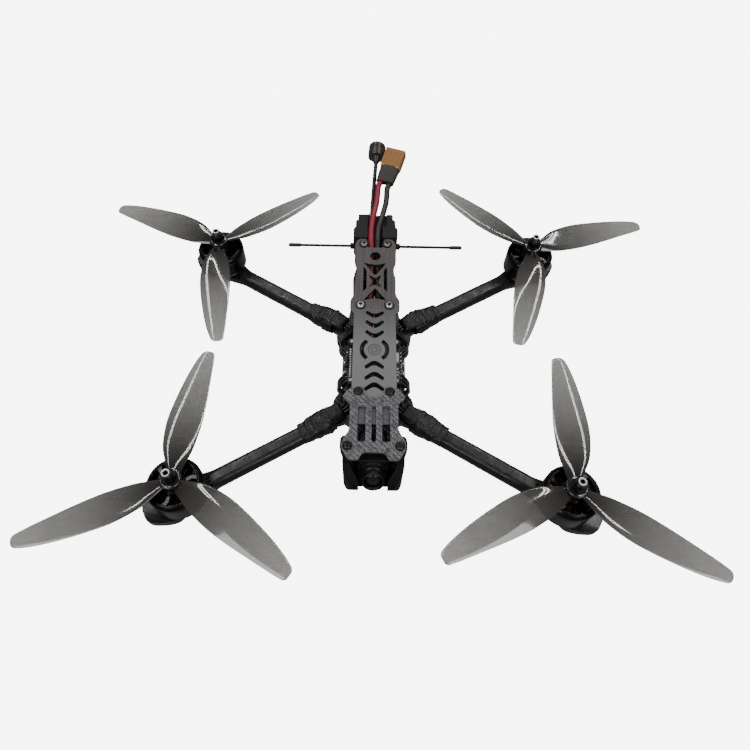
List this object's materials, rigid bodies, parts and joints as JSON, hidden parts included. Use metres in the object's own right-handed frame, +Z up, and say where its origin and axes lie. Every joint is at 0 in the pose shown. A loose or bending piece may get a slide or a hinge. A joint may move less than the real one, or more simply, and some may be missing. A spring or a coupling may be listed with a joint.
{
  "type": "fpv racing drone",
  "caption": "Carbon-plate racing quadcopter with rigid arms, three-blade propellers, a tilting nose camera, rear antennas and a battery lead with its plug.",
  "frame": {"origin": "the point of the belly plate's underside midway between the four motor axes", "axes": "+Z up, nose along -Y, +X to the pilot's left and to the viewer's right in front of the nose"},
  "size_m": [0.4028, 0.3324, 0.0567],
  "materials": {
    "frame_carbon": "carbon plate, satin with cut edges",
    "roof_carbon": "satin grey carbon plate",
    "front_carbon": "glossy woven carbon plate",
    "arm_carbon": "glossy black heat-shrink over carbon",
    "black_plastic": "black moulded plastic",
    "black_alloy": "black anodised",
    "black_steel": "black oxide",
    "bright_steel": "bright",
    "tape": "matt woven tape",
    "black_wire": "silicone wire",
    "copper_winding": "enamelled copper on black laminations",
    "motor_black": "glossy black anodised",
    "smoke_propeller": "translucent smoke polycarbonate",
    "circuit_board": "black solder mask with parts",
    "lens_glass": "coated glass in a black barrel",
    "flexible_print": "matt layered flexible print",
    "red_silicone": "soft satin silicone",
    "black_silicone": "soft satin silicone",
    "yellow_nylon": "moulded nylon",
    "sheath": "dark grey shrink sleeve"
  },
  "bodies": {
    "airframe": {"belly_plate": "frame_carbon", "main_deck": "frame_carbon", "roof_plate": "roof_carbon", "front_plate": "front_carbon", "camera_cheek_left": "black_plastic", "camera_cheek_right": "black_plastic", "standoff_front_left": "black_alloy", "standoff_front_right": "black_alloy", "standoff_middle_left": "black_alloy", "standoff_middle_right": "black_alloy", "standoff_rear_left": "black_alloy", "standoff_rear_right": "black_alloy", "screw_nose_left": "black_steel", "screw_nose_right": "black_steel", "screw_front_left": "black_steel", "screw_front_right": "black_steel", "screw_middle_left": "bright_steel", "screw_middle_right": "bright_steel", "screw_rear_left": "bright_steel", "screw_rear_right": "bright_steel", "arm_front_right": "arm_carbon", "arm_wrap_front_right": "tape", "motor_wires_front_right": "black_wire", "motor_stator_front_right": "copper_winding", "arm_front_left": "arm_carbon", "arm_wrap_front_left": "tape", "motor_wires_front_left": "black_wire", "motor_stator_front_left": "copper_winding", "arm_rear_right": "arm_carbon", "arm_wrap_rear_right": "tape", "motor_wires_rear_right": "black_wire", "motor_stator_rear_right": "copper_winding", "arm_rear_left": "arm_carbon", "arm_wrap_rear_left": "tape", "motor_wires_rear_left": "black_wire", "motor_stator_rear_left": "copper_winding", "speed_controller": "circuit_board", "flight_controller": "circuit_board", "video_transmitter": "black_alloy", "rear_mount": "flexible_print", "receiver_antenna": "black_plastic", "video_antenna": "black_plastic", "battery_lead_red": "red_silicone", "battery_lead_black": "black_silicone", "battery_plug": "yellow_nylon", "plug_sheath": "sheath"},
    "rotor_front_right": {"motor_bell_front_right": "motor_black", "propeller_front_right": "smoke_propeller", "prop_nut_front_right": "black_alloy"},
    "rotor_front_left": {"motor_bell_front_left": "motor_black", "propeller_front_left": "smoke_propeller", "prop_nut_front_left": "black_alloy"},
    "rotor_rear_right": {"motor_bell_rear_right": "motor_black", "propeller_rear_right": "smoke_propeller", "prop_nut_rear_right": "black_alloy"},
    "rotor_rear_left": {"motor_bell_rear_left": "motor_black", "propeller_rear_left": "smoke_propeller", "prop_nut_rear_left": "black_alloy"},
    "camera": {"camera_body": "black_plastic", "camera_lens": "lens_glass"}
  },
  "joints": [
    {"name": "motor_spin_front_right", "type": "hinge", "parent": "airframe", "child": "rotor_front_right", "pos_m": [-0.1165, -0.0925, 0.0325], "axis": [0, 0, 1], "continuous": true},
    {"name": "motor_spin_front_left", "type": "hinge", "parent": "airframe", "child": "rotor_front_left", "pos_m": [0.1165, -0.0925, 0.0325], "axis": [0, 0, 1], "continuous": true},
    {"name": "motor_spin_rear_right", "type": "hinge", "parent": "airframe", "child": "rotor_rear_right", "pos_m": [-0.1165, 0.0925, 0.0325], "axis": [0, 0, 1], "continuous": true},
    {"name": "motor_spin_rear_left", "type": "hinge", "parent": "airframe", "child": "rotor_rear_left", "pos_m": [0.1165, 0.0925, 0.0325], "axis": [0, 0, 1], "continuous": true},
    {"name": "camera_tilt", "type": "hinge", "parent": "airframe", "child": "camera", "pos_m": [0, -0.077, 0.024], "axis": [-1, 0, 0], "range_deg": [-25, 25]}
  ]
}
